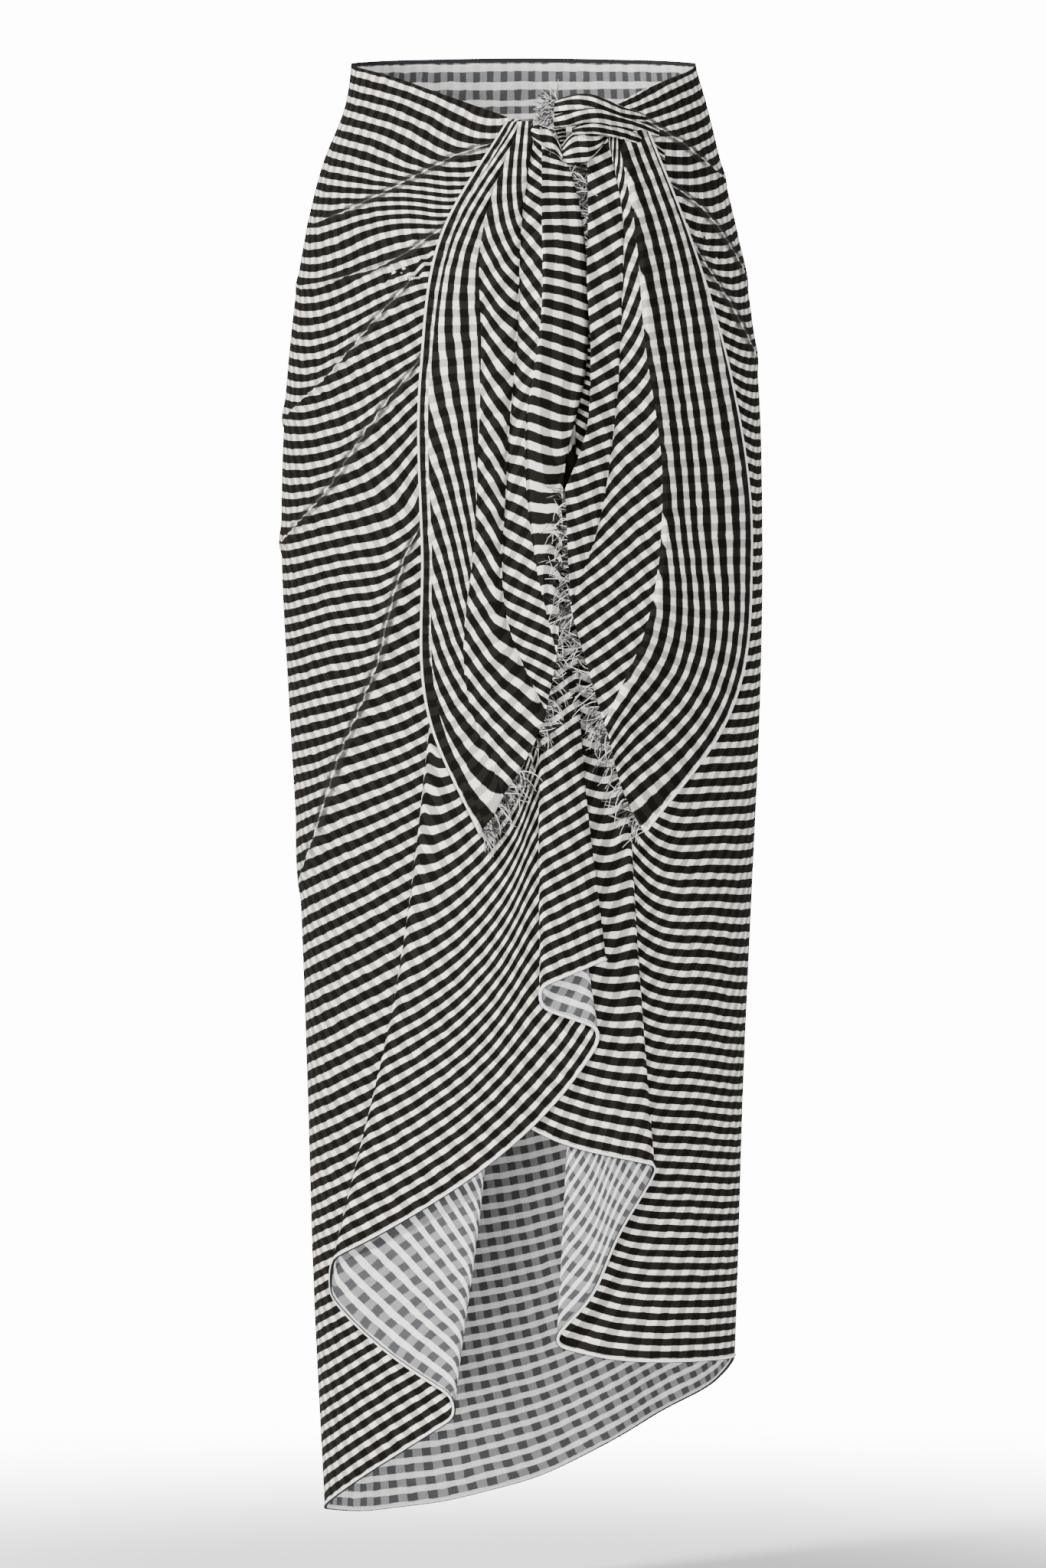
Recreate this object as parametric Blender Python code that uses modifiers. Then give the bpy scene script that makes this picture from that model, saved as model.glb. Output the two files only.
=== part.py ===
"""A sarong of striped crinkled cotton, wrapped round the hips and tied in front by its two top corners.

Tables are in millimetres. X runs to the viewer's right, Y away from the viewer and Z up. The origin is
the middle of the waist opening. Front and back places are given as they show from a point well in front
of the cloth, and as_seen() takes them back to where they lie.
"""

import math
from collections import namedtuple

import bmesh
import bpy
import numpy as np
from mathutils import Vector

MM = 0.001
WALL = 1.2  # the crinkled cloth's thickness
SEAM = 0.3  # room between two pieces that the real cloth joins
SEAM_ANGLE = 0.0056  # the same at the sides, in radians round the body
EYE_DISTANCE = 5000.0
EYE_HEIGHT = -527.0
SIDE_ANGLE = math.radians(92)  # where a front panel ends and the back begins
TUCK_SHARE = 0.35  # how far towards the next line a fold's own guide may lie
TUCK_MOST = 0.065  # and the most that is, in radians round the body

CLOTH_TONE = (0.36, 0.35, 0.33, 1)  # black and cream stripes seen from far off
FRINGE_GREY = (0.38, 0.37, 0.36, 1)
COTTON_ROUGHNESS = 0.9

# The form that the cloth lies on, section by section from the waist down
Section = namedtuple("Section", "z left right front back")
SECTIONS = (
    Section(30, 126, 123, 84, 88),
    Section(0, 127, 124, 86, 92),
    Section(-30, 131, 132, 93, 100),
    Section(-75, 148, 143, 101, 112),
    Section(-140, 163, 158, 108, 120),
    Section(-210, 172, 168, 113, 125),
    Section(-340, 178, 173, 117, 125),
    Section(-475, 172, 171, 116, 118),
    Section(-610, 164, 165, 112, 111),
    Section(-745, 159, 159, 108, 106),
    Section(-880, 155, 155, 104, 102),
    Section(-1080, 145, 148, 98, 98),
)

# How finely the sheets are divided: rows from top to hem, and steps between one guide and the next
OVER_ROWS = 34
UNDER_ROWS = 28
BACK_ROWS = 20
BACK_COLUMNS = 24
TAIL_ROWS = 20
SOFT_STEPS = 2
FOLD_STEPS = 1

# A line of the cloth from its top to its end. x is read at the stations of its sheet, top and end are
# heights, and lift is how far it stands off the form at the top and at the end, or at the top, halfway
# and at the end. "in" and "out" mark the two sides of a fold, where the cloth turns back on itself.
Line = namedtuple("Line", "name turn x top end lift")
PANEL_STATIONS = (0.0, 0.25, 0.5, 0.75, 1.0)
OVER_LINES = (
    Line("left side", "", None, 0, -1057, (0, 0)),
    Line("left 1", "", (-104, -166, -161, -144, -138), -6, -1050, (0, 0)),
    Line("left 2", "", (-71, -138, -135, -115, -104), -19, -1025, (0, 0)),
    Line("left 3", "", (-37, -99, -101, -71, -71), -31, -1003, (1, 0)),
    Line("lowest fold, under", "in", (-12, -55, -66, -28, -51), -40, -990, (3, 0)),
    Line("lowest fold, over", "out", (-11, -54, -66, -28, -53), -40, -975, (3, 5)),
    Line("between the folds", "", (-9, -53, -69, -62, -105), -41, -940, (3, 5)),
    Line("wide fold, under", "in", (-8, -52, -72, -98, -143), -41, -900, (3, 5)),
    Line("wide fold, over", "out", (-6, -51, -72, -98, -142), -41, -875, (3, 10)),
    Line("panel 1", "", (-4, -40, -54, -71, -104), -42, -857, (4, 12)),
    Line("panel 2", "", (-1, -26, -34, -43, -54), -43, -826, (4, 14)),
    Line("ridge by the valley", "", (2, -5, 2, -12, -26), -43, -805, (4, 17)),
    Line("valley", "", (5, 2, 8, 2, 2), -43, -781, (4, 11)),
    Line("under the column", "", (8, 6, 12, 16, 27), -43, -755, (4, 12)),
    Line("hidden fold, under", "in", (11, 9, 16, 29, 54), -43, -716, (4, 13)),
    Line("hidden fold, over", "out", (12, 10, 16, 29, 53), -43, -705, (4, 18)),
    Line("column fold, under", "in", (14, 11, 13, 10, 11), -43, -691, (5, 18)),
    Line("column fold, over", "out", (16, 12, 13, 10, 10), -43, -676, (5, 25)),
    Line("column", "", (20, 20, 26, 26, 36), -43, -665, (6, 25)),
    Line("column edge", "", (27, 33, 37, 43, 61), -43, -654, (6, 19)),
    Line("turned edge", "", (29, 35, 37, 40, 57), -43, -657, (4, 14)),
)
UNDER_LINES = (
    Line("right side", "", None, 0, -945, (0, 0)),
    Line("right 1", "", (109, 162, 160, 148, 137), -9, -948, (0, 0)),
    Line("right 2", "", (95, 137, 134, 123, 103), -16, -950, (0, 0)),
    Line("right 3", "", (81, 103, 100, 86, 64), -22, -949, (0, 0)),
    Line("lower fold, under", "in", (66, 75, 67, 37, 24), -31, -939, (0, 0)),
    Line("lower fold, over", "out", (65, 74, 67, 37, 22), -31, -931, (0, 4.5)),
    Line("inner 1", "", (63, 73, 69, 50, 52), -31, -900, (0, 5)),
    Line("inner 2", "", (61, 72, 70, 63, 64), -31, -861, (0, 5)),
    Line("upper fold, under", "in", (60, 71, 72, 80, 94), -32, -813, (0, 4.5)),
    Line("upper fold, over", "out", (58, 70, 72, 80, 95), -32, -806, (0, 9)),
    Line("front 1", "", (53, 57, 53, 57, 61), -34, -799, (0, 9)),
    Line("front 2", "", (46, 36, 27, 27, 24), -36, -791, (0, 9)),
    Line("hidden edge", "", (38, 16, 8, -3, -13), -38, -769, (0, 8)),
)

# The two tails hang from the knot. Each runs from its long hem to the edge that lies inmost.
TAIL_STATIONS = (0.0, 0.15, 0.35, 0.6, 0.85, 1.0)
LEFT_TAIL_LINES = (
    Line("hem", "", (-13, -59, -76, -75, -68, -33), -43, -564, (12, 11, 19)),
    Line("hem roll", "", (-9, -36, -57, -70, -62, -26), -43, -552, (15, 20, 24)),
    Line("first valley", "", (-4, -29, -31, -35, -41, -15), -43, -534, (13, 10, 19)),
    Line("middle ridge", "", (1, -16, -19, -24, -20, -1), -43, -514, (15, 24, 28)),
    Line("second valley", "", (7, -3, -7, -15, -13, 14), -43, -480, (13, 11, 22)),
    Line("inner ridge", "", (13, 13, 13, 1, 10, 24), -44, -430, (15, 21, 26)),
    Line("inner edge", "", (22, 37, 45, 44, 29, 27), -50, -340, (12, 9, 20)),
)
RIGHT_TAIL_LINES = (
    Line("inner edge", "", (45, 46, 45, 48, 43, 29), -72, -312, (13, 21, 33)),
    Line("inner valley", "", (59, 69, 69, 64, 50, 32), -56, -396, (13, 14, 32)),
    Line("first ridge", "", (67, 80, 88, 101, 87, 58), -48, -486, (18.5, 24, 28)),
    Line("outer valley", "", (76, 95, 111, 123, 104, 67), -47, -522, (15, 10, 17)),
    Line("outer ridge", "", (84, 111, 134, 148, 127, 76), -49, -545, (12, 16, 16)),
    Line("hem", "", (90, 120, 150, 165, 144, 87), -51, -563, (8, 6, 12)),
)

# The back's hem, at angles round from the left side, and the soft flutes above it
HEM_TURNS = (0.0, 0.25, 0.5, 0.75, 1.0)
BACK_HEM = (-1057, -1064, -1046, -990, -945)
BACK_TOP = (0, 9, 13, 9, 0)
FLUTES = 5
FLUTE_DEPTH = 5.0

# Pulled folds that run from the knot across the hips, as ridges from one end to the other
Pull = namedtuple("Pull", "name x_from z_from x_to z_to width height")
LEFT_PULLS = (
    Pull("first", -24, -60, -146, -115, 15, 4),
    Pull("second", -60, -121, -149, -163, 13, 4),
    Pull("third", -67, -142, -172, -260, 17, 5),
    Pull("fourth", -77, -217, -164, -338, 17, 5),
    Pull("great", -77, -341, -160, -596, 22, 8),
)
PULL_FADE = 4  # how soon a fold dies out towards the sides
PULL_ENDS = 8  # how soon it rises from its two ends
RIGHT_PULLS = (
    Pull("first", 108, -66, 143, -84, 14, 4),
    Pull("second", 108, -90, 166, -171, 15, 4),
    Pull("third", 124, -134, 168, -207, 13, 4),
)

# The knot: a band that crosses in front and the lobe tucked under it
Station = namedtuple("Station", "x z lift half_height half_depth")
BAND = (
    Station(104, -46, 4.5, 4, 3),
    Station(84, -42, 17, 7, 4.5),
    Station(64, -39, 24, 10.5, 6.5),
    Station(46, -38.5, 25, 15, 8),
    Station(30, -40, 21, 16, 6.5),
    Station(22, -42, 16.5, 12, 3.2),
)
BAND_PLEATS = 5
BAND_SIDES = 20
LOBE = (
    Station(27, -57, 13, 4, 2.5),
    Station(33, -60, 15.5, 8, 4.5),
    Station(41, -59, 16, 9.5, 5),
    Station(48, -57, 15.5, 8, 4.5),
    Station(54, -55, 14, 5, 3),
)
LOBE_PLEATS = 3
LOBE_SIDES = 12
PLEAT_SWELL = 0.07  # how far a bundle's pleats rise, as a share of its half-width

# The band's cut edge, top to bottom, and how far in from it its cloth is measured
Edge = namedtuple("Edge", "x z lift")
BAND_EDGE = (
    Edge(23.5, -27, 16.5),
    Edge(20, -34, 16.5),
    Edge(19, -42, 16.5),
    Edge(20, -50, 16.5),
)
BAND_EDGE_INSIDE = 5.0

FRINGE_LENGTH = 15.0
FRINGE_BAND_LENGTH = 8.0
FRINGE_STRIP = 2.0
FRINGE_ROOM = 0.5  # from the cut edge to its strip
FRINGE_INSET = 0.012  # how far in from a cut edge's two ends the strip starts, as a share
FRINGE_STEER = 25.0  # how firmly a strip keeps to the cloth's outer side at its corner
FRINGE_TAPER = 0.3  # a strand's tip against its root
FRINGE_SAG = 0.6  # how far a strand turns down from the cloth's own direction
FRINGE_UPPER_ROWS = slice(2, 9)  # the rows of the left tail whose inner edge is bare by the knot


def smooth_read(knots, values, at):
    """Values at the given places, on a smooth curve through the knots."""
    knots = np.asarray(knots, float)
    values = np.asarray(values, float)
    at = np.asarray(at, float)
    slopes = np.gradient(values, knots, axis=0)
    low = np.clip(np.searchsorted(knots, at, side="right") - 1, 0, len(knots) - 2)
    wide = knots[low + 1] - knots[low]
    part = np.clip((at - knots[low]) / wide, 0, 1)
    if values.ndim > 1:
        wide = wide[..., None]
        part = part[..., None]
    start = (2 * part**3 - 3 * part**2 + 1) * values[low]
    start_slope = (part**3 - 2 * part**2 + part) * wide * slopes[low]
    end = (3 * part**2 - 2 * part**3) * values[low + 1]
    end_slope = (part**3 - part**2) * wide * slopes[low + 1]
    return start + start_slope + end + end_slope


def straight_read(knots, values, at):
    """Points at the given places, on straight lines between the knots, as a mesh's own edge runs."""
    return np.stack([np.interp(at, knots, column) for column in values.T], axis=-1)


def ease(share):
    return share * share * (3 - 2 * share)


def lift_at(lifts, share):
    if len(lifts) == 2:
        return lifts[0] + (lifts[1] - lifts[0]) * ease(share)
    return float(smooth_read(np.linspace(0, 1, len(lifts)), lifts, share))


def form_at(z):
    """Left and right half-widths, front and back depths of the form at a height."""
    rows = np.array(SECTIONS, float)[::-1]
    found = smooth_read(rows[:, 0], rows[:, 1:], z)
    return np.moveaxis(found, -1, 0)


def cloth_point(angle, z, lift):
    """The place at an angle round from the front, at a height, lifted off the form."""
    left, right, front, back = form_at(z)
    across = np.where(np.sin(angle) > 0, right, left) + lift
    deep = np.where(np.cos(angle) > 0, front, back) + lift
    return np.stack([across * np.sin(angle), -deep * np.cos(angle), z + 0 * angle], axis=-1)


def as_seen(x, z, lift):
    """Angle and true height of the place on the front that shows at (x, z)."""
    x = np.asarray(x, float)
    shown_z = np.asarray(z, float)
    true_x = x
    true_z = shown_z
    for _ in range(4):
        left, right, front, _back = form_at(true_z)
        across = np.where(x > 0, right, left) + lift
        angle = np.arcsin(np.clip(true_x / across, -1, 1))
        nearness = 1 - (front + lift) * np.cos(angle) / EYE_DISTANCE
        true_x = x * nearness
        true_z = EYE_HEIGHT + (shown_z - EYE_HEIGHT) * nearness
    return angle, true_z


def guides(lines, stations, share, side):
    """The guide points of one row of a sheet, as rows of angle, height and lift."""
    found = []
    for line in lines:
        z = line.top + (line.end - line.top) * share
        lift = lift_at(line.lift, share)
        if line.x is None:
            found.append((side, z, lift))
        else:
            x = smooth_read(stations, line.x, share)
            angle, true_z = as_seen(x, z, lift)
            found.append((float(angle), float(true_z), lift))
    found = np.array(found)
    full = []
    for index, line in enumerate(lines):
        if line.turn == "in":
            full.append(tuck(found[index], found[index - 1]))
        full.append(found[index])
        if line.turn == "out":
            full.append(tuck(found[index], found[index + 1]))
    return np.array(full)


def tuck(fold, neighbour):
    """A guide beside a fold, on the way to the next line but on the fold's own level."""
    way = neighbour[0] - fold[0]
    step = np.clip(TUCK_SHARE * way, -TUCK_MOST, TUCK_MOST)
    rise = (neighbour[1] - fold[1]) * (step / way if way else 0)
    return np.array([fold[0] + step, fold[1] + rise, fold[2]])


def column_places(lines, soft, tight):
    """Where along the guides a row has its points: soft per open stretch, tight per fold stretch."""
    kinds = []
    for line in lines:
        if line.turn == "in":
            kinds.append("tuck")
        kinds.append("fold" if line.turn else "soft")
        if line.turn == "out":
            kinds.append("tuck")
    places = [0.0]
    for index in range(len(kinds) - 1):
        pair = {kinds[index], kinds[index + 1]}
        count = tight if "fold" in pair or pair == {"tuck"} else soft
        places += [index + (step + 1) / count for step in range(count)]
    return np.array(places)


def spline(points, places):
    """A smooth curve led by the points, which starts and ends on the first and last."""
    first = 2 * points[0] - points[1]
    last = 2 * points[-1] - points[-2]
    padded = np.vstack([first, points, last])
    low = np.clip(np.floor(places).astype(int), 0, len(points) - 2)
    f = (places - low)[:, None]
    a, b, c, d = (padded[low + k] for k in range(4))
    return (
        (1 - f) ** 3 * a
        + (3 * f**3 - 6 * f**2 + 4) * b
        + (-3 * f**3 + 3 * f**2 + 3 * f + 1) * c
        + f**3 * d
    ) / 6


def pulled_lift(points, pulls):
    """How much the pulled folds raise each point of a row."""
    _left, _right, front, _back = form_at(points[:, 1])
    x = cloth_point(points[:, 0], points[:, 1], points[:, 2])[:, 0]
    z = points[:, 1]
    rise = np.zeros(len(points))
    on_front = np.clip(np.cos(points[:, 0]) * PULL_FADE, 0, 1)
    for pull in pulls:
        run = np.array([pull.x_to - pull.x_from, pull.z_to - pull.z_from], float)
        length = np.hypot(*run)
        run /= length
        along = (x - pull.x_from) * run[0] + (z - pull.z_from) * run[1]
        off = (x - pull.x_from) * -run[1] + (z - pull.z_from) * run[0]
        share = np.clip(along / length, 0, 1)
        ends = np.clip(PULL_ENDS * share * (1 - share), 0, 1)
        near = np.clip(1 - (off / pull.width) ** 2, 0, 1) ** 2
        rise += pull.height * near * ends * on_front
    return rise


def sheet_rows(lines, stations, side, rows, pulls=()):
    """Every point of a sheet, in millimetres: one list of points for each row, top to hem."""
    places = column_places(lines, SOFT_STEPS, FOLD_STEPS)
    found = []
    for row in range(rows + 1):
        points = spline(guides(lines, stations, row / rows, side), places)
        points[:, 2] += pulled_lift(points, pulls)
        found.append(cloth_point(points[:, 0], points[:, 1], points[:, 2]))
    return np.array(found)


def new_material(name):
    """The node's own matt cotton: the fringes grey, the cloth the middle tone of its stripes."""
    colour = FRINGE_GREY if name.startswith("fringe") else CLOTH_TONE
    material = bpy.data.materials.new(name)
    material.use_nodes = True
    shader = material.node_tree.nodes["Principled BSDF"]
    shader.inputs["Base Color"].default_value = colour
    shader.inputs["Roughness"].default_value = COTTON_ROUGHNESS
    shader.inputs["Metallic"].default_value = 0.0
    material.diffuse_color = colour
    return material


def add_object(name, bm, collection):
    mesh = bpy.data.meshes.new(name)
    bm.to_mesh(mesh)
    bm.free()
    mesh.shade_smooth()
    mesh.materials.append(new_material(name))
    obj = bpy.data.objects.new(name, mesh)
    collection.objects.link(obj)
    return obj


def grid_mesh(points):
    """A grid of faces through rows of points in millimetres."""
    rows, columns = points.shape[:2]
    bm = bmesh.new()
    bmesh.ops.create_grid(bm, x_segments=columns - 1, y_segments=rows - 1, size=1)
    for vertex in bm.verts:
        column = round((vertex.co.x + 1) / 2 * (columns - 1))
        row = round((vertex.co.y + 1) / 2 * (rows - 1))
        vertex.co = points[row, column] * MM
    return bm


def face_outwards(bm):
    """Turns the grid's faces away from the upright axis, by the face that lies farthest out."""
    outer = max(bm.faces, key=lambda face: face.calc_center_median().xy.length)
    centre = outer.calc_center_median()
    outer.normal_update()
    if outer.normal.x * centre.x + outer.normal.y * centre.y < 0:
        bmesh.ops.reverse_faces(bm, faces=bm.faces)


def add_cloth(name, points, collection):
    """An open sheet through the points, given the cloth's wall."""
    bm = grid_mesh(points)
    face_outwards(bm)
    obj = add_object(name, bm, collection)
    wall = obj.modifiers.new("wall", "SOLIDIFY")
    wall.thickness = WALL * MM
    wall.offset = 0
    wall.use_even_offset = False
    return obj


def back_rows(rows, columns):
    """The back, from the left side round behind to the right side."""
    found = []
    for row in range(rows + 1):
        share = row / rows
        turn = np.linspace(0, 1, columns + 1)
        start = SIDE_ANGLE + SEAM_ANGLE
        angle = -start - turn * (2 * math.pi - 2 * start)
        top = smooth_read(HEM_TURNS, BACK_TOP, turn)
        hem = smooth_read(HEM_TURNS, BACK_HEM, turn)
        wave = np.sin(turn * math.pi * FLUTES * 2) * np.sin(turn * math.pi)
        lift = FLUTE_DEPTH * wave * ease(share)
        found.append(cloth_point(angle, top + (hem - top) * share, lift))
    return np.array(found)


def add_bundle(name, stations, pleats, sides, collection):
    """A gathered roll of cloth along its stations, closed at both ends."""
    table = np.array(stations, float)
    spread = np.linspace(0, 1, len(stations))
    fine = smooth_read(spread, table, np.linspace(0, 1, 2 * len(stations) - 1))
    rings = []
    for x, z, lift, half_height, half_depth in fine:
        turn = np.arange(sides + 1) / sides * 2 * math.pi
        swell = 1 + PLEAT_SWELL * np.cos(pleats * 2 * turn)
        up = z + half_height * np.sin(turn) * swell
        out = lift + half_depth * np.cos(turn) * swell
        angle, true_z = as_seen(np.full(sides + 1, x), up, out)
        rings.append(cloth_point(angle, true_z, out))
    bm = grid_mesh(np.array(rings))
    bmesh.ops.remove_doubles(bm, verts=bm.verts, dist=1e-6)
    bmesh.ops.holes_fill(bm, edges=[edge for edge in bm.edges if edge.is_boundary], sides=0)
    bmesh.ops.recalc_face_normals(bm, faces=bm.faces)
    return add_object(name, bm, collection)


def band_edge_line(shift):
    """The band's cut edge, or the line as far inside it as the shift says."""
    x, z, lift = np.array(BAND_EDGE, float).T
    angle, true_z = as_seen(x + shift, z, lift)
    return cloth_point(angle, true_z, lift)


def add_fringe(name, edge, inner, strands, length, collection):
    """Strands fused in a narrow strip just clear of a cut edge. inner is the row of points within it."""
    spread = np.linspace(0, 1, len(edge))
    places = np.linspace(FRINGE_INSET, 1 - FRINGE_INSET, strands + 1)
    at_edge = straight_read(spread, edge, places)
    along = unit(np.gradient(at_edge, axis=0))
    radial = unit(at_edge * (1, 1, 0))
    outward = at_edge - straight_read(spread, inner, places)
    outward = outward - along * (along * outward).sum(axis=1)[:, None]
    outward = unit(outward + FRINGE_STEER * np.cross(along, radial))
    face = np.cross(along, outward) * WALL / 2
    near = at_edge + outward * FRINGE_ROOM
    far = near + outward * FRINGE_STRIP
    bm = grid_mesh(np.array([near - face, far - face, far + face, near + face, near - face]))
    bmesh.ops.remove_doubles(bm, verts=bm.verts, dist=1e-7)
    bmesh.ops.holes_fill(bm, edges=[edge for edge in bm.edges if edge.is_boundary], sides=0)
    bmesh.ops.recalc_face_normals(bm, faces=bm.faces)
    roots = [item for item in bm.faces if len(item.verts) == 4 and on_line(item, far)]
    for tip in bmesh.ops.extrude_discrete_faces(bm, faces=roots)["faces"]:
        centre = tip.calc_center_median()
        at = np.linalg.norm(far * MM - np.array(centre), axis=1).argmin()
        hang = unit(outward[at] + np.array([0, 0, -FRINGE_SAG])) * length * MM
        for vertex in tip.verts:
            vertex.co = centre + (vertex.co - centre) * FRINGE_TAPER + Vector(hang)
    return add_object(name, bm, collection)


def on_line(item, line):
    """Whether every corner of a face lies half a wall from a line of points."""
    for vertex in item.verts:
        gap = np.linalg.norm(line * MM - np.array(vertex.co), axis=1).min()
        if gap > 0.6 * WALL * MM:
            return False
    return True


def unit(vectors):
    return vectors / np.linalg.norm(vectors, axis=-1, keepdims=True)


def main():
    for obj in list(bpy.data.objects):
        bpy.data.objects.remove(obj, do_unlink=True)
    collection = bpy.data.collections.new("sarong")
    bpy.context.scene.collection.children.link(collection)

    over = sheet_rows(OVER_LINES, PANEL_STATIONS, -SIDE_ANGLE, OVER_ROWS, LEFT_PULLS)
    add_cloth("front_over", over, collection)
    under = sheet_rows(UNDER_LINES, PANEL_STATIONS, SIDE_ANGLE, UNDER_ROWS, RIGHT_PULLS)
    add_cloth("front_under", under, collection)
    add_cloth("wrap_back", back_rows(BACK_ROWS, BACK_COLUMNS), collection)
    left = sheet_rows(LEFT_TAIL_LINES, TAIL_STATIONS, 0, TAIL_ROWS)
    add_cloth("tail_left", left, collection)
    right = sheet_rows(RIGHT_TAIL_LINES, TAIL_STATIONS, 0, TAIL_ROWS)
    add_cloth("tail_right", right, collection)
    add_bundle("knot_band", BAND, BAND_PLEATS, BAND_SIDES, collection)
    add_bundle("knot_lobe", LOBE, LOBE_PLEATS, LOBE_SIDES, collection)

    add_fringe("fringe_left", left[-1], left[-2], 52, FRINGE_LENGTH, collection)
    bare = left[FRINGE_UPPER_ROWS][::-1]
    add_fringe("fringe_upper", bare[:, -1], bare[:, -2], 26, FRINGE_LENGTH, collection)
    add_fringe("fringe_right", right[-1], right[-2], 58, FRINGE_LENGTH, collection)
    end = band_edge_line(0)
    inside = band_edge_line(BAND_EDGE_INSIDE)
    add_fringe("fringe_band", end, inside, 14, FRINGE_BAND_LENGTH, collection)


main()
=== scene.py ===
"""The looks of a sarong of striped crinkled cotton, wrapped round the hips and tied in front.

Tables are in millimetres. X runs to the viewer's right, Y away from the viewer and Z up. The origin is
the middle of the waist opening. Places on the front are given as they show from the camera, and
as_seen() takes them back to where they lie. Stripes are counted from a long hem, black by black.
"""

import math
from collections import namedtuple

import bmesh
import bpy
import numpy as np
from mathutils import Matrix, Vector


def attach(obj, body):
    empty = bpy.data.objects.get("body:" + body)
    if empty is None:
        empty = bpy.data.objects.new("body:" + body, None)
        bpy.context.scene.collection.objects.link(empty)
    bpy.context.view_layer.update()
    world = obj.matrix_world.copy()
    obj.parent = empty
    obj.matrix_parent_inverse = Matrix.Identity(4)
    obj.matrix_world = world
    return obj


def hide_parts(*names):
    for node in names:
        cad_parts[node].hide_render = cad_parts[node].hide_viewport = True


MM = 0.001
SEED = 7
WALL = 1.1  # the crinkled cloth's thickness
CROSS = 11.7  # from one cross band of the weave to the next

# The camera stands in front of the origin, and the picture takes in so much there from top to bottom.
EYE_DISTANCE = 5000.0
EYE_HEIGHT = -527.5
EYE_ACROSS = -1.7
VIEW_HEIGHT = 1147.0
SENSOR = 36
SEEN_ROUNDS = 4  # rounds that settle where a place seen in the picture lies on the cloth

# Angles go round the body from the front, in radians. The front panels end at the sides, and the back
# starts a seam's angle farther on. A guide beside a fold stands a share of the way to the next line, at
# most so far off. A crease has two guides on each side, no farther off than a share of the way to the
# next line.
SIDE_ANGLE = math.radians(92)
SEAM_ANGLE = 0.0002
TUCK_SHARE = 0.35
TUCK_MOST = 0.065
CREASE_NARROW = 0.004
CREASE_WIDE = 0.016
CREASE_SHARE = 0.6

# The form that the cloth is wrapped round: its half-widths and depths from the upright axis, by height.
Section = namedtuple("Section", "z left right front back")
SECTIONS = (
    Section(30, 126, 123, 84, 88),
    Section(0, 127, 124, 86, 92),
    Section(-30, 131, 132, 93, 100),
    Section(-75, 148, 143, 101, 112),
    Section(-140, 163, 158, 108, 120),
    Section(-210, 172, 168, 113, 125),
    Section(-340, 178, 173, 117, 125),
    Section(-475, 172, 171, 116, 118),
    Section(-610, 164, 165, 112, 111),
    Section(-745, 159, 159, 108, 106),
    Section(-880, 155, 155, 104, 102),
    Section(-1080, 145, 148, 98, 98),
)

# The rows of each sheet. The steps are its columns from one guide to the next, first on open cloth and
# then by a fold.
OVER_ROWS = 250
OVER_STEPS = (6, 3)
UNDER_ROWS = 230
UNDER_STEPS = (9, 4)
TAIL_ROWS = 200
TAIL_STEPS = (12, 12)
BACK_ROWS = 200
BACK_COLUMNS = 120

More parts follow.
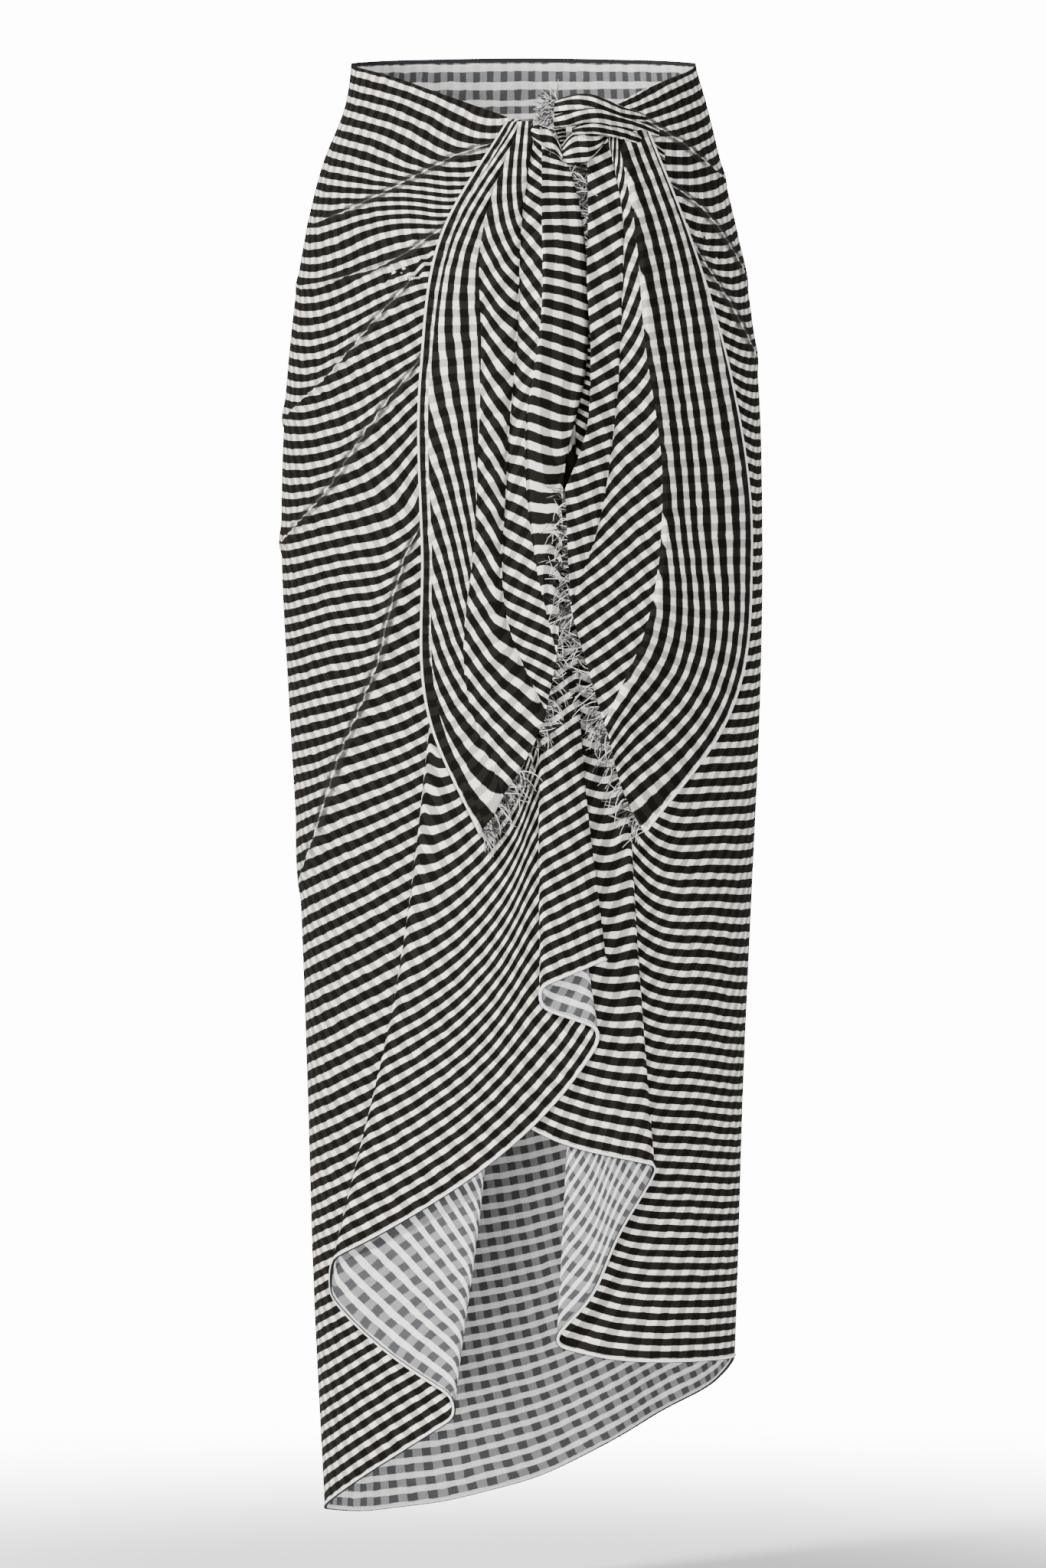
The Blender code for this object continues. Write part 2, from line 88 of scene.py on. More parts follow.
# A line of the cloth from its top to its end. x is read at the stations of its sheet, top and end are
# heights, lift is how far it stands off the form, and stripes counts the stripes to it from the hem.
# "in" and "out" mark the two sides of a fold. A crease that hides some stripes gives the count on its
# right in after, and in step how far its left side stands above its right, or below it.
Line = namedtuple("Line", "name turn x top end lift stripes after step", defaults=(None, 0.0))
PANEL_STATIONS = (0.0, 0.25, 0.5, 0.75, 1.0)
OVER_LINES = (
    Line("left side", "", None, 0, -1057, (0, 0), (98, 71.2, 46.6, 24.8, 0.5)),
    Line("left 1", "", (-104, -166, -161, -144, -138), -6, -1050, (0, 0), (98, 71.4, 46.4, 24.6, 0.5)),
    Line("left 2", "", (-71, -138, -135, -115, -104), -19, -1025, (0, 0), (98, 70.5, 45.9, 24.5, 0.5)),
    Line("left 3", "", (-37, -99, -101, -71, -71), -31, -1003, (1, 0), (98, 69.6, 44.9, 23.8, 0.5)),
    Line("low fold, under", "in", (-12, -55, -66, -28, -51), -40, -990, (3, 0), (97, 65, 43.4, 21.5, 0.5)),
    Line("low fold, over", "out", (-11, -54, -66, -28, -53), -40, -975, (3, 5), (96.9, 64.5, 43, 21, 0.5)),
    Line("between the folds", "", (-9, -53, -69, -62, -105), -41, -940, (3, 5), (96.6, 58, 36, 16.5, 0.5)),
    Line("wide fold, under", "in", (-8, -52, -68, -94, -143), -41, -900, (3, 5), (96.2, 52, 33, 17, 0.5)),
    Line("wide fold, over", "out", (-6, -51, -68, -94, -142), -41, -875, (3, 10), (96, 50, 31.5, 17.3, 0.5)),
    Line("panel 1", "", (-4, -40, -54, -71, -104), -42, -857, (4, 12), (95.7, 49.5, 33, 17.5, 0.5)),
    Line("panel 2", "", (-1, -26, -34, -43, -54), -43, -826, (4, 14), (95.3, 49, 33.3, 17.9, 0.5)),
    Line("ridge by the valley", "", (2, -5, 2, -12, -26), -43, -805, (4, 17), (95, 48.5, 32.5, 16, 0.5)),
    Line("valley", "", (5, 2, 8, 2, 2), -43, -781, (4, 11), (94.6, 45, 29.5, 14.3, 0.5)),
    Line("under the column", "", (8, 6, 12, 16, 27), -43, -755, (4, 12), (94.4, 44.5, 29, 14.5, 0.5)),
    Line("hidden fold, under", "in", (11, 9, 16, 29, 54), -43, -716, (4, 13), (94.2, 43, 28, 14, 0.5)),
    Line("hidden fold, over", "out", (12, 10, 16, 29, 53), -43, -705, (4, 18), (94.1, 42.5, 27.8, 14, 0.5)),
    Line("column fold, under", "in", (14, 11, 13, 10, 11), -43, -691, (5, 18), (94, 42.2, 29, 15.2, 0.5)),
    Line("column fold, over", "out", (16, 12, 13, 10, 10), -43, -676, (5, 25), (94, 42.2, 29.5, 15.7, 0.5)),
    Line("column", "", (20, 20, 26, 26, 36), -43, -665, (6, 25), (93.5, 44.5, 30, 15.5, 0.5)),
    Line("column edge", "", (27, 33, 37, 43, 61), -43, -654, (6, 19), (93, 44, 29.8, 15.1, 0.5)),
    Line("turned edge", "", (29, 35, 37, 40, 57), -43, -657, (4, 14), (93, 44, 29.8, 15.3, 0.5)),
)
UNDER_LINES = (
    Line("right side", "", None, 0, -945, (0, 0), (98, 72, 48.5, 26.6, 0.5)),
    Line("right 1", "", (109, 162, 160, 148, 137), -9, -948, (0, 0), (98, 72, 48.5, 26.3, 0.5)),
    Line("right 2", "", (95, 137, 134, 123, 103), -16, -950, (0, 0), (98, 69, 48, 25.3, 0.5)),
    Line("right 3", "", (81, 103, 100, 86, 64), -22, -949, (0, 0), (98, 65, 48, 25.5, 0.5)),
    Line("lower fold, under", "in", (66, 75, 67, 37, 24), -31, -939, (0, 0), (97.4, 60, 43, 21, 0.5)),
    Line("lower fold, over", "out", (65, 74, 67, 37, 22), -31, -931, (0, 4.5), (97.3, 60, 42, 20.5, 0.5)),
    Line("inner 1", "", (63, 73, 69, 50, 52), -31, -900, (0, 5), (97, 58, 39.5, 19.5, 0.5)),
    Line("inner 2", "", (61, 72, 70, 63, 64), -31, -861, (0, 5), (96.7, 55, 37, 18.5, 0.5)),
    Line("upper fold, under", "in", (60, 71, 72, 80, 94), -32, -813, (0, 4.5), (96.4, 53, 35.5, 17.5, 0.5)),
    Line("upper fold, over", "out", (58, 70, 72, 80, 95), -32, -806, (0, 9), (96.2, 50.5, 34, 17.3, 0.5)),
    Line("front 1", "", (53, 57, 53, 57, 61), -34, -799, (0, 9), (96, 50.5, 34.8, 18.5, 0.5)),
    Line("front 2", "", (46, 36, 27, 27, 24), -36, -791, (0, 9), (95.4, 49.5, 33.8, 17.8, 0.5)),
    Line("hidden edge", "", (38, 16, 8, -3, -13), -38, -769, (0, 8), (94.6, 48, 33, 17.5, 0.5)),
)

TAIL_STATIONS = (0.0, 0.15, 0.35, 0.6, 0.85, 1.0)
LEFT_TAIL_LINES = (
    Line("hem", "", (-13, -59, -76, -75, -68, -33), -43, -564, (12, 11, 19),
         (0.7, 0.7, 0.7, 0.7, 0.7, 0.6)),
    Line("beside the hem", "", (-9, -52, -70, -69, -62, -30), -43, -559, (14, 15, 21),
         (1.4, 1.4, 1.4, 1.4, 1.2, 0.8), (8.5, 9.7, 9.6, 6.2, 1.6, 0.8), 1.0),
    Line("hem roll", "", (-5, -36, -56, -60, -56, -24), -43, -552, (15, 20, 24),
         (9.4, 11.9, 10.8, 7.1, 2.6, 1.2)),
    Line("first valley", "", (-3, -29, -31, -35, -41, -15), -43, -534, (13, 11, 20),
         (9.9, 12.6, 13, 10.9, 4.6, 1.7), (27.5, 24.4, 18.8, 11.9, 4.6, 1.7), -2.5),
    Line("middle ridge", "", (1, -16, -19, -24, -20, -1), -43, -514, (15, 23, 26),
         (28.5, 26.1, 20.4, 13.5, 7.5, 4)),
    Line("second valley", "", (7, -3, -7, -15, -13, 14), -43, -480, (13, 13, 22),
         (29.6, 28, 21.8, 15.6, 9.4, 7), (40.3, 33.6, 27.8, 20.3, 12, 7), 3.5),
    Line("inner ridge", "", (13, 13, 13, 1, 10, 24), -44, -430, (15, 20, 26),
         (41.2, 35.1, 30.4, 22.7, 16.4, 12.2), (44.4, 38, 30.7, 22.7, 16.4, 12.2), -1.0),
    Line("inner edge", "", (22, 37, 45, 44, 29, 27), -50, -340, (12, 10, 20),
         (45.2, 38.9, 33.8, 27.8, 21.5, 19.8)),
)
RIGHT_TAIL_LINES = (
    Line("inner edge", "", (45, 46, 45, 48, 43, 29), -72, -312, (13, 21, 33),
         (45.7, 42.5, 38.7, 33.7, 28.4, 25.4)),
    Line("inner valley", "", (59, 69, 69, 64, 50, 32), -56, -396, (13, 16, 32),
         (46.5, 41.5, 36, 29, 21.6, 17.6), (39.5, 34.1, 31.4, 26.2, 21.2, 17.8), 2.5),
    Line("slope", "", (63, 74, 78, 82, 68, 45), -52, -441, (16, 18.5, 30),
         (38, 33.4, 29.8, 23.4, 16.8, 13.2)),
    Line("first ridge", "", (67, 80, 88, 101, 87, 58), -48, -486, (17, 21, 26),
         (36.5, 32.6, 28.1, 20.5, 12.4, 8.6), (4.8, 5.8, 6.8, 7, 9, 8.4), -3.5),
    Line("outer valley", "", (76, 95, 111, 123, 104, 67), -47, -522, (15, 12, 18),
         (3.8, 4.6, 4.8, 4.8, 6.6, 3.8)),
    Line("outer ridge", "", (84, 111, 134, 148, 127, 76), -49, -545, (12, 16, 16),
         (2.8, 2.9, 2.3, 2.5, 3.2, 1.3)),
    Line("hem", "", (90, 120, 150, 165, 144, 87), -51, -563, (8, 6, 12), (2, 1.8, 0.9, 0.6, 0.5, 0.5)),
)

# The back, at stations round it from the left side to the right: its lowest and top edges, and the
# stripes down its two sides. Shallow flutes run down it. Just below the waist, over a share of its
# height, its stripes are wider apart.
HEM_TURNS = (0.0, 0.25, 0.5, 0.75, 1.0)
BACK_HEM = (-1057, -1064, -1046, -990, -945)
BACK_TOP = (0, 9, 13, 9, 0)
BACK_STRIPES = ((98, 71.2, 46.6, 24.8, 0.5), (98, 72, 48.5, 26.6, 0.5))
FLUTES = 5
FLUTE_DEPTH = 3.0
WAIST_SHARE = 0.03
WAIST_STRIPES = 0.8

# Pulled folds that run from the knot across the hips. Each follows its points; height is how far it
# stands up, above and below how wide it is on its two sides, and hidden the stripes that it swallows.
Pull = namedtuple("Pull", "name path height above below hidden")
LEFT_PULLS = (
    Pull("waist", ((-24, -59), (-49, -67), (-77, -82), (-104, -96), (-131, -109), (-165, -122)),
         4, 10, 4, 2.8),
    Pull("high hip", ((-58, -119), (-84, -138), (-108, -151), (-149, -161), (-190, -167)), 4, 11, 4, 1.0),
    Pull("hip", ((-86, -162), (-102, -181), (-122, -206), (-142, -229), (-161, -247), (-200, -285)),
         6, 13, 4, 0.9),
    Pull("low hip", ((-77, -217), (-97, -245), (-115, -270), (-133, -299), (-148, -320), (-165, -338),
                     (-205, -385)), 6, 13, 4, 1.8),
    Pull("thigh", ((-77, -340), (-86, -359), (-93, -390), (-104, -440), (-117, -473), (-133, -511),
                   (-149, -563), (-175, -625)), 9, 24, 6, 2.6),
)
RIGHT_PULLS = (
    Pull("waist", ((64, -37), (88, -43), (111, -57), (132, -74), (160, -98)), 4, 9, 4, 1.8),
    Pull("high hip", ((108, -90), (125, -104), (139, -120), (154, -144), (160, -156), (185, -195)),
         4, 9, 4, 1.6),
    Pull("hip", ((124, -134), (134, -154), (148, -176), (158, -195), (190, -260)), 4, 9, 4, 1.6),
)
PULL_BACK = math.radians(35)  # how far past the side a pulled fold runs on over the back
PULL_ENDS = 6.0  # how soon it rises from its two ends
SIDE_LOW = 0.3  # how much of its height is left where the cloth is seen edge on
FOLD_REACH = 28.0  # how far from it the stripes still give way
LINE_REACH = 5.0  # how far from its line the finish shifts them
LINE_FADE = 4.0  # over what width that stops
LINE_APART = 3.0  # how much nearer than the next fold's line it has to be for that
NO_FOLD = 99.0  # the distance that stands for no fold nearby

# On the left hip the stripes climb toward the knot, by so many in all. They begin to at the side, over
# a width, and each height goes with the height over which the climb starts or stops.
CLIMB_STRIPES = 3.8
CLIMB_SIDE = -165.0
CLIMB_ACROSS = 95.0
CLIMB_TOP = (70.0, 60.0)
CLIMB_FOOT = (200.0, 170.0)

# Settling the distances along the stripes: what is added to every step's length, so that no short one
# counts too much, the most rounds, and how small the rest has to be.
STEP_LEAST = 0.3
SETTLE_ROUNDS = 1200
SETTLED = 1e-6

# The knot's rolls of gathered cloth. Each follows its stations, and has pleats round it and stripes.
Station = namedtuple("Station", "x z lift half_height half_depth")
Roll = namedtuple("Roll", "pleats stripes stations")
BAND = (
    Roll(1, 5, (Station(21, -33, 17, 5.5, 3.5), Station(30, -31, 20, 6.5, 5.5), Station(40, -29, 24, 6.5, 7),
                Station(50, -29, 25, 6, 7), Station(60, -32, 22, 5.5, 6), Station(70, -36, 14, 5, 5),
                Station(80, -39, 6, 4.5, 3), Station(88, -41, 2.5, 3, 1.5))),
    Roll(1, 5, (Station(21, -43, 17, 5.5, 3.5), Station(31, -40.5, 22, 6.5, 6), Station(42, -38, 26, 6, 7.5),
                Station(53, -38.5, 27, 6, 7.5), Station(64, -42, 22.5, 5.5, 6), Station(76, -45.5, 14, 5, 5),
                Station(88, -49, 6, 4.5, 3), Station(98, -52, 2.5, 3, 1.5))),
    Roll(1, 5, (Station(34, -51, 19, 3.5, 4), Station(42, -48.5, 24, 4.5, 6), Station(52, -47, 25, 5, 6.5),
                Station(63, -48.5, 22, 5, 5.5), Station(76, -53, 15, 5, 4.5), Station(90, -60, 7, 4.5, 3),
                Station(102, -68, 3, 3.5, 1.5))),
)
LOBE = (
    Roll(3, 9, (Station(26, -66, 12, 5, 2.5), Station(32, -64, 16, 10.5, 5), Station(40, -61, 18, 12.5, 6.5),
                Station(49, -58, 18, 11.5, 6.5), Station(57, -54, 15, 7, 4))),
    Roll(1, 5, (Station(2, -50, 14, 4, 2), Station(8, -51, 16, 6.5, 3.5), Station(15, -54, 17, 8, 4),
                Station(22, -60, 16, 7, 3.5), Station(27, -68, 14, 4, 2.5))),
)
BAND_SIDES = 56
LOBE_SIDES = 72
BUNDLE_RINGS = 60
PLEAT_SWELL = 0.08

# The frayed end of the knot's band, from its top to its foot, and how the fringe roots along it.
Edge = namedtuple("Edge", "x z lift")
BAND_EDGE = (
    Edge(24, -27, 18),
    Edge(20.5, -34, 18),
    Edge(20, -42, 18),
    Edge(23, -54, 17.5),
)
BAND_EDGE_SPOTS = 12
BAND_EDGE_INSIDE = 5.0  # a place this far in from the end tells which way its threads point

HEM_ROLL = 1.4  # the rolled hem's radius
HEM_SIDES = 10

# A fringe: its number of threads, how long and how scattered they are, and their radius.
Fringe = namedtuple("Fringe", "threads length spread thick")
LEFT_FRINGE = Fringe(230, 18, 0.5, 0.46)
UPPER_FRINGE = Fringe(200, 16, 0.6, 0.46)
RIGHT_FRINGE = Fringe(280, 19, 0.5, 0.46)
BAND_FRINGE = Fringe(360, 14, 0.7, 0.42)
UPPER_ROWS = slice(16, 84)  # the rows of the left tail whose inner edge is frayed
FRAY_BACK = -4  # the row or column that tells which way the fringe at the last one points
THREAD_POINTS = 6
THREAD_SIDES = 3
THREAD_LIFT = (0.15, 0.25)  # how far a thread stands off the cloth: the middle and the scatter
THREAD_BEND = 0.8
THREAD_DROP = (0.2, 1.1)
THREAD_SHARES = (0.55, 1.15)  # the shortest and the longest, as shares of the fringe's length
THREAD_TAPER = 0.6

# Each look gives the brightness and warmth of white, white on a cross band, black, and black on one.
Look = namedtuple("Look", "white white_cross black black_cross")
OUTER_LOOK = Look((0.80, 0.06), (0.33, 0.06), (0.010, 0.12), (0.004, 0.10))
INNER_LOOK = Look((0.71, 0.02), (0.60, 0.015), (0.19, -0.01), (0.055, -0.03))

# The weave's wave is nought in the middle of a black stripe or a cross band and a half midway to the
# next. The colour turns between two of its values, and noise moves the edge by a share of the spacing.
STRIPE_EDGE = (0.265, 0.32)
STRIPE_WOBBLE = 0.22
CROSS_EDGE = (0.21, 0.29)
CROSS_WOBBLE = 0.2
TOP_STRIPE = (97.7, 97.8)  # the counts above which the inner face is black, at the waist edge

# The line of a pulled fold, by millimetres off the line: a faint ridge with painted light, and beside it a
# groove with a painted dark shade line.
RIDGE_LIGHT_EDGE = (0.3, 0.8)
GROOVE_SHADE_START = (0.35, 0.8)
GROOVE_SHADE_END = (2.0, 3.6)

# The studio, in metres and watts. The floor fades out round the edge into the bright backdrop.
Lamp = namedtuple("Lamp", "name place size watts tone")
LAMPS = (
    Lamp("key", (-3.2, -3.0, 2.4), 0.9, 660, (1, 0.99, 0.97)),
    Lamp("fill", (3.4, -3.6, 0.4), 2.6, 200, (0.98, 0.99, 1)),
    Lamp("low", (-0.5, -3.4, -1.0), 1.4, 90, (1, 1, 1)),
    Lamp("top", (0.3, 0.6, 3.2), 2.0, 60, (1, 1, 1)),
)
LAMP_AIM = (0, 0, -0.5)
SKY = 0.5
BACKDROP = 14.0
FLOOR_HEIGHT = -1.13
FLOOR_RADIUS = 2
FLOOR_SIDES = 96
FLOOR_TONE = 0.92
FLOOR_FADE = (1.16, 1.9)


def smooth_read(knots, values, at):
    """Values at the given places, on a smooth curve through the knots."""
    knots = np.asarray(knots, float)
    values = np.asarray(values, float)
    at = np.asarray(at, float)
    slopes = np.gradient(values, knots, axis=0)
    low = np.clip(np.searchsorted(knots, at, side="right") - 1, 0, len(knots) - 2)
    wide = knots[low + 1] - knots[low]
    part = np.clip((at - knots[low]) / wide, 0, 1)
    if values.ndim > 1:
        wide = wide[..., None]
        part = part[..., None]
    start = (2 * part**3 - 3 * part**2 + 1) * values[low]
    start_slope = (part**3 - 2 * part**2 + part) * wide * slopes[low]
    end = (3 * part**2 - 2 * part**3) * values[low + 1]
    end_slope = (part**3 - part**2) * wide * slopes[low + 1]
    return start + start_slope + end + end_slope


def ease(share):
    """A share from nought to one, with a soft beginning and end."""
    return share * share * (3 - 2 * share)


def ramp(value, start, width):
    """Nought up to the start, one from a width past it, and an eased rise between them."""
    return ease(np.clip((value - start) / width, 0, 1))


def unit(vectors):
    """The vectors, each made one long."""
    return vectors / np.maximum(np.linalg.norm(vectors, axis=-1, keepdims=True), 1e-9)


def lift_at(lifts, share):
    """How far a line stands off the form, from its lifts at even shares of its length."""
    if len(lifts) == 2:
        return lifts[0] + (lifts[1] - lifts[0]) * ease(share)
    return smooth_read(np.linspace(0, 1, len(lifts)), lifts, share)


def form_at(z):
    """Left and right half-widths, front and back depths of the form at a height."""
    rows = np.array(SECTIONS, float)[::-1]
    return np.moveaxis(smooth_read(rows[:, 0], rows[:, 1:], z), -1, 0)


def cloth_point(angle, z, lift):
    """The place at an angle round from the front, at a height, lifted off the form."""
    left, right, front, back = form_at(z)
    across = np.where(np.sin(angle) > 0, right, left) + lift
    deep = np.where(np.cos(angle) > 0, front, back) + lift
    return np.stack([across * np.sin(angle), -deep * np.cos(angle), z + 0 * angle], axis=-1)


def as_seen(x, z, lift):
    """Angle and true height of the place on the front that shows at (x, z)."""
    x = np.asarray(x, float)
    shown_z = np.asarray(z, float)
    true_x = x
    true_z = shown_z
    for _ in range(SEEN_ROUNDS):
        left, right, front, _back = form_at(true_z)
        across = np.where(x > 0, right, left) + lift
        angle = np.arcsin(np.clip(true_x / across, -1, 1))
        nearness = 1 - (front + lift) * np.cos(angle) / EYE_DISTANCE
        true_x = x * nearness
        true_z = EYE_HEIGHT + (shown_z - EYE_HEIGHT) * nearness
    return angle, true_z


def shown(points):
    """Where points show in the picture, in millimetres at the origin's distance."""
    near = EYE_DISTANCE / (EYE_DISTANCE + points[..., 1])
    return points[..., 0] * near, EYE_HEIGHT + (points[..., 2] - EYE_HEIGHT) * near


def tuck(fold, neighbour):
    """A guide beside a fold, on the way to the next line but on the fold's own level."""
    way = neighbour[:, 0] - fold[:, 0]
    step = np.clip(TUCK_SHARE * way, -TUCK_MOST, TUCK_MOST)
    part = np.where(np.abs(way) > 1e-9, step / np.where(np.abs(way) > 1e-9, way, 1), 0)
    moved = fold + (neighbour - fold) * part[:, None]
    moved[:, 0] = fold[:, 0] + step
    moved[:, 2] = fold[:, 2]
    return moved


def crease(before, line, behind, right_count, step):
    """Four guides across a crease: two on its left and two on its right, one side above the other."""
    found = []
    for off in (-CREASE_WIDE, -CREASE_NARROW, CREASE_NARROW, CREASE_WIDE):
        start = line.copy()
        if off > 0:
            start[:, 3] = right_count
        neighbour = behind if off > 0 else before
        way = neighbour[:, 0] - line[:, 0]
        part = np.clip(off / np.where(way == 0, 1, way), 0, CREASE_SHARE)
        guide = start + (neighbour - start) * part[:, None]
        if off * step < 0:
            guide[:, 2] += abs(step)
        found.append(guide)
    return found


class Sheet:
    """A sheet of cloth led by its lines: its points, and the stripes that lie on them.

    Its guides run down it. form holds the angle, height and lift of every point, and zones the stripe
    counts from one crease to the next, each with its first and last column.
    """

    def __init__(self, lines, stations, side, rows, soft, tight):
        share = np.linspace(0, 1, rows + 1)
        plain = [self.guide(line, stations, side, share) for line in lines]
        self.guides = []
        self.after = []
        self.kinds = []
        self.cuts = []
        for index, line in enumerate(lines):
            if line.turn == "in":
                self.add(tuck(plain[index], plain[index - 1]), "tuck")
            if line.after is None:
                self.add(plain[index], "fold" if line.turn else "soft")
            else:
                right_count = smooth_read(stations, line.after, share)
                self.add_crease(plain[index], plain[index + 1], right_count, line.step)
            if line.turn == "out":
                self.add(tuck(plain[index], plain[index + 1]), "tuck")
        places = self.places(soft, tight)
        guides = np.stack(self.guides, axis=1)
        self.form = spline(guides[:, :, :3], places)
        self.zones = self.count_zones(guides, places)
        self.lines = FoldLines(self.form)

    def add(self, guide, kind):
        """One more guide. after is the count on its right, the same as on its left unless it is cut."""
        self.guides.append(guide)
        self.after.append(guide[:, 3])
        self.kinds.append(kind)

    def add_crease(self, line, behind, right_count, step):
        """The guides of a crease. The count changes over at the one on its lower side."""
        for guide in crease(self.guides[-1], line, behind, right_count, step):
            self.add(guide, "fold")
        cut = len(self.guides) - (2 if step > 0 else 3)
        self.cuts.append(cut)
        self.after[cut] = right_count
        if step > 0:
            self.guides[cut] = self.guides[cut].copy()
            self.guides[cut][:, 3] = line[:, 3]

    def count_zones(self, guides, places):
        """The stripe counts from one crease to the next, at every point."""
        after = np.stack(self.after, axis=1)
        edges = [0] + self.cuts + [guides.shape[1] - 1]
        zones = []
        for start, end in zip(edges[:-1], edges[1:]):
            columns = np.flatnonzero((places >= start - 1e-9) & (places <= end + 1e-9))
            counts = guides[:, start : end + 1, 3:].copy()
            counts[:, 0, 0] = after[:, start]
            zones.append((columns[0], columns[-1], spline(counts, places[columns] - start)[:, :, 0]))
        return zones

    @staticmethod
    def guide(line, stations, side, share):
        """One line's angle, height, lift and stripe count at every row."""
        z = line.top + (line.end - line.top) * share
        lift = lift_at(line.lift, share)
        count = smooth_read(stations, line.stripes, share)
        if line.x is None:
            return np.stack([0 * z + side, z, lift, count], axis=-1)
        angle, true_z = as_seen(smooth_read(stations, line.x, share), z, lift)
        return np.stack([angle, true_z, lift, count], axis=-1)

    def places(self, soft, tight):
        """Where along the guides a row has its points: soft per open stretch, tight per fold stretch."""
        places = [0.0]
        for index in range(len(self.kinds) - 1):
            pair = set(self.kinds[index : index + 2])
            count = tight if "fold" in pair or pair == {"tuck"} else soft
            places += [index + (step + 1) / count for step in range(count)]
        return np.array(places)

    def points(self):
        """Every point of the sheet, in millimetres."""
        return cloth_point(self.form[..., 0], self.form[..., 1], self.form[..., 2])

    def cloth(self):
        """What add_cloth makes a sheet from: its points, stripe zones and fold map."""
        return self.points(), self.zones, self.lines.map()

    def climb(self, stripes):
        """Lets the stripes on the left hip climb toward the knot, by so many in all."""
        x, z = shown(self.points())
        toward = ramp(x, CLIMB_SIDE, CLIMB_ACROSS)
        within = ramp(-z, *CLIMB_TOP) * (1 - ramp(-z, *CLIMB_FOOT))
        for start, end, count in self.zones:
            count -= stripes * (toward * within)[:, start : end + 1]

    def pull(self, pulls):
        """Raises the pulled folds, and shifts the stripes where they swallow some."""
        for fold in pulls:
            pull_form(self.form, fold, self.lines)
        for start, end, count in self.zones:
            count += self.lines.counts()[:, start : end + 1]


class FoldLines:
    """The pulled folds of a sheet and the stripes that they swallow.

    Half of a fold's hidden stripes go to each side of it. Close to the fold the finish adds them, so
    that they change over sharply at its line, and farther away they are in the sheet's own counts.
    """

    def __init__(self, form):
        self.off = np.full(form.shape[:2], NO_FOLD)
        self.next = np.full(form.shape[:2], NO_FOLD)
        self.half = np.zeros(form.shape[:2])
        self.total = np.zeros(form.shape[:2])

    def add(self, off, hidden):
        """One more fold: how far off its line every point is, and how many stripes it hides there."""
        nearer = np.abs(off) < np.abs(self.off)
        self.next = np.minimum(self.next, np.where(nearer, np.abs(self.off), np.abs(off)))
        self.off = np.where(nearer, off, self.off)
        self.half = np.where(nearer, hidden / 2, self.half)
        self.total += np.sign(off) * hidden / 2

    def close(self):
        """How many stripes the finish adds on each side of the nearest fold."""
        near = 1 - ramp(np.abs(self.off), LINE_REACH, LINE_FADE)
        clear = ramp(self.next - np.abs(self.off), LINE_APART, LINE_REACH)
        return self.half * near * clear

    def counts(self):
        """How many stripes the sheet's own counts gain."""
        return self.total - np.sign(self.off) * self.close()

    def map(self):
        """What the finish reads: how far off the nearest fold is, and its share of the stripes."""
        return np.stack([self.off, self.close()], axis=-1)


def pull_form(form, fold, lines):
    """Raises one pulled fold on a sheet, and notes its line."""
    x, z = shown(cloth_point(form[..., 0], form[..., 1], form[..., 2]))
    near, left, ends, off = beside(x, z, fold)
    past = np.abs(form[..., 0]) - SIDE_ANGLE
    past = np.where(past > math.pi / 2, math.pi, past)
    same_side = np.sign(np.sin(form[..., 0])) == np.sign(fold.path[-1][0])
    fade = np.clip(1 - past / PULL_BACK, 0, 1) * same_side
    flat = SIDE_LOW + (1 - SIDE_LOW) * np.clip(np.cos(form[..., 0]), 0, 1)
    hidden = fold.hidden * left * fade * np.exp(-((off / FOLD_REACH) ** 2))
    lines.add(np.where(same_side, off, NO_FOLD), hidden)
    form[..., 2] += fold.height * near * ends * fade * flat


def beside(x, z, fold):
    """How near points are to a pulled fold, how much of it is left, and how far off its line they are.

    The third number is nought at the fold's ends. The last is plus above the fold.
    """
    path = np.array(fold.path, float)
    best = np.full(x.shape, 1e9)
    along = np.zeros(x.shape)
    off = np.zeros(x.shape)
    steps = np.hypot(*np.diff(path, axis=0).T)
    run = np.concatenate([[0], np.cumsum(steps)])
    for index, step in enumerate(steps):
        dx, dz = (path[index + 1] - path[index]) / step
        t = np.clip((x - path[index, 0]) * dx + (z - path[index, 1]) * dz, 0, step)
        gap_x = x - path[index, 0] - t * dx
        gap_z = z - path[index, 1] - t * dz
        gap = np.hypot(gap_x, gap_z)
        closer = gap < best
        best = np.where(closer, gap, best)
        along = np.where(closer, run[index] + t, along)
        off = np.where(closer, np.sign(gap_z * abs(dx) + gap_x * dz * -np.sign(dx)) * gap, off)
    share = along / run[-1]
    ends = np.clip(PULL_ENDS * share * (1 - share), 0, 1)
    width = np.where(off > 0, fold.above, fold.below)
    near = np.clip(1 - (off / width) ** 2, 0, 1) ** 2
    return near, 1 - share, ends, off


def spline(points, places):
    """A smooth curve led by the points along the second axis, from the first to the last."""
    first = 2 * points[:, :1] - points[:, 1:2]
    last = 2 * points[:, -1:] - points[:, -2:-1]
    padded = np.concatenate([first, points, last], axis=1)
    low = np.clip(np.floor(places + 1e-9).astype(int), 0, points.shape[1] - 2)
    f = (places - low)[None, :, None]
    a, b, c, d = (padded[:, low + k] for k in range(4))
    return (
        (1 - f) ** 3 * a
        + (3 * f**3 - 6 * f**2 + 4) * b
        + (-3 * f**3 + 3 * f**2 + 3 * f + 1) * c
        + f**3 * d
    ) / 6


